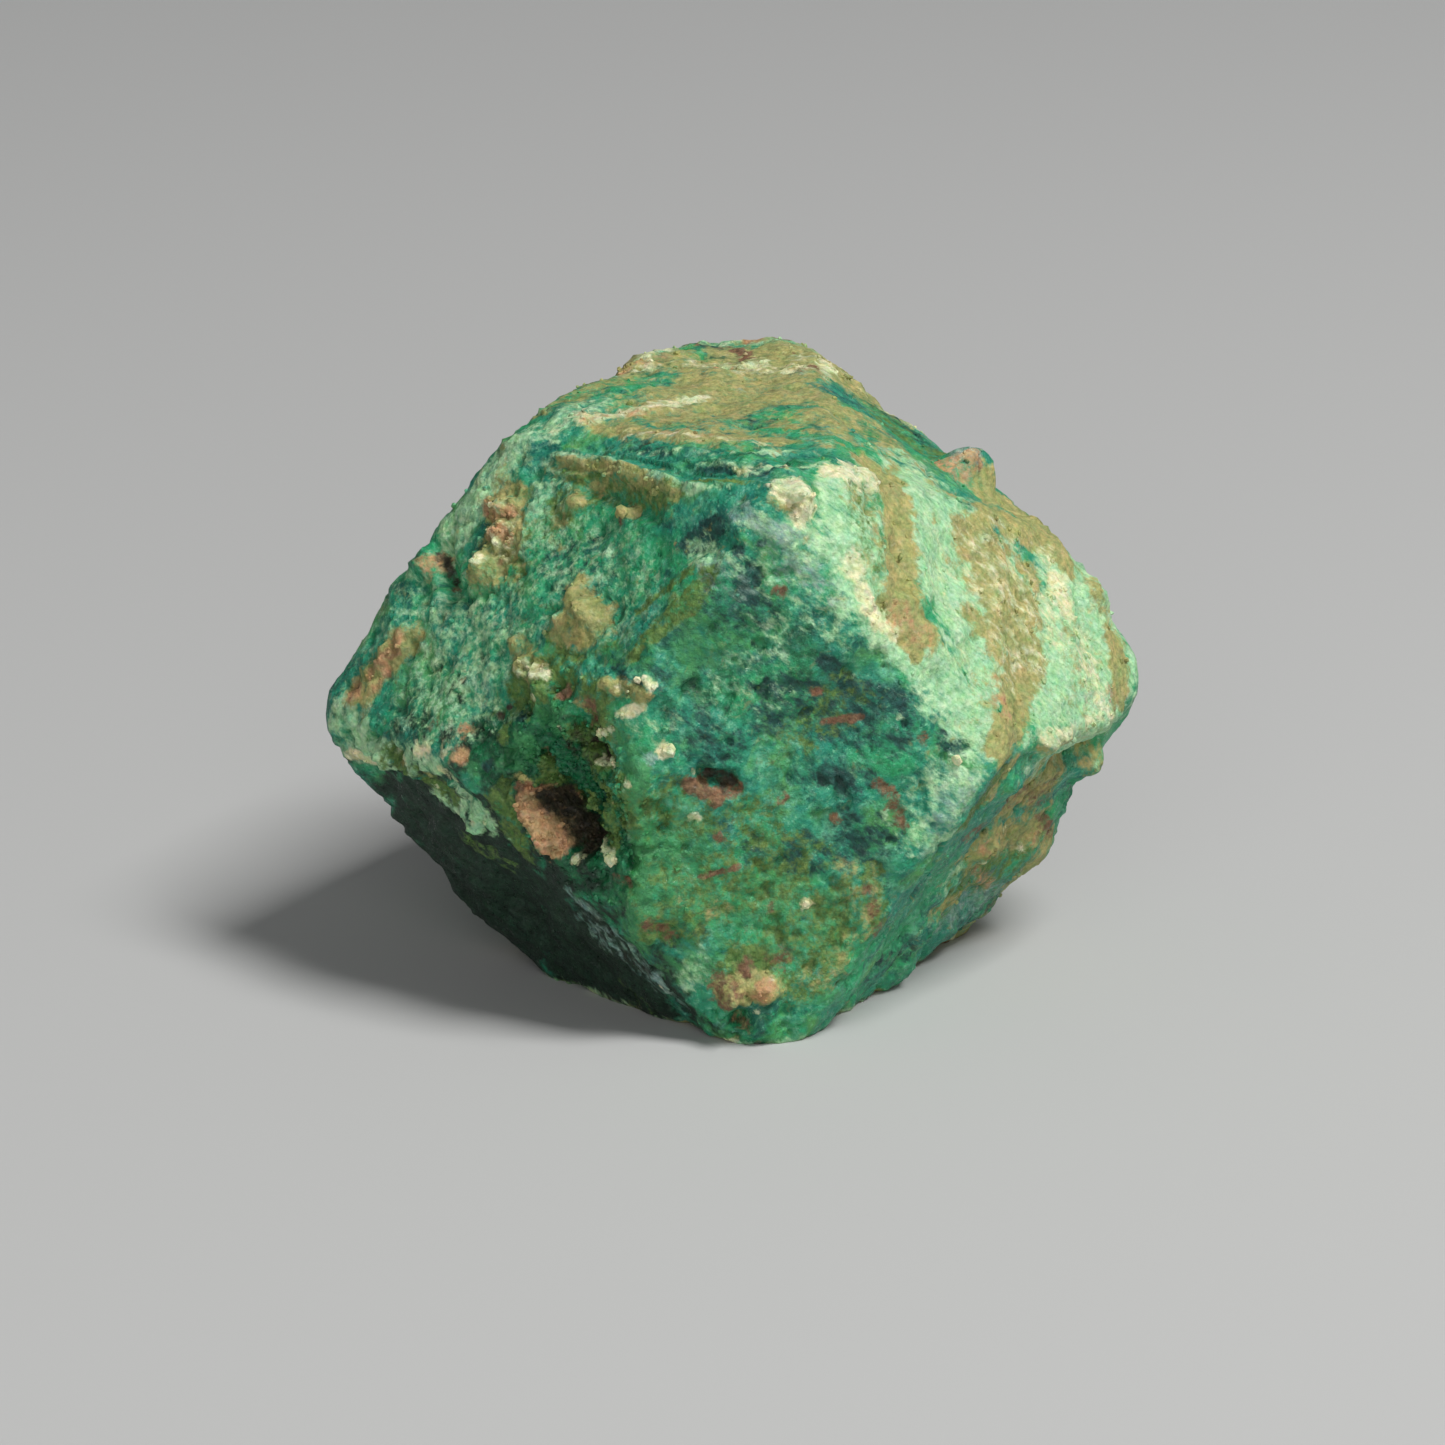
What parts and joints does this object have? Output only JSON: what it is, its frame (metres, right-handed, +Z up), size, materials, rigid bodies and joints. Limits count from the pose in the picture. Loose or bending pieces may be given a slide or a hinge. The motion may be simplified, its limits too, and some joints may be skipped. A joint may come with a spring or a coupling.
{
  "type": "malachite pseudomorph crystal",
  "caption": "Worn dodecahedral malachite crystal grown after cuprite, with rhombic faces, a broken hollow front corner, small pits and a crust of lumps.",
  "frame": {"origin": "centre of the crystal's bounding box, on the ground under it", "axes": "+X from the left tip to the right tip, -Y out of the front face, +Z up"},
  "size_m": [0.0181, 0.0138, 0.0128],
  "materials": {
    "malachite": "rough green crust, mottled with mint, teal, ochre and rust"
  },
  "bodies": {
    "root": {"malachite_crystal": "malachite"}
  },
  "joints": []
}
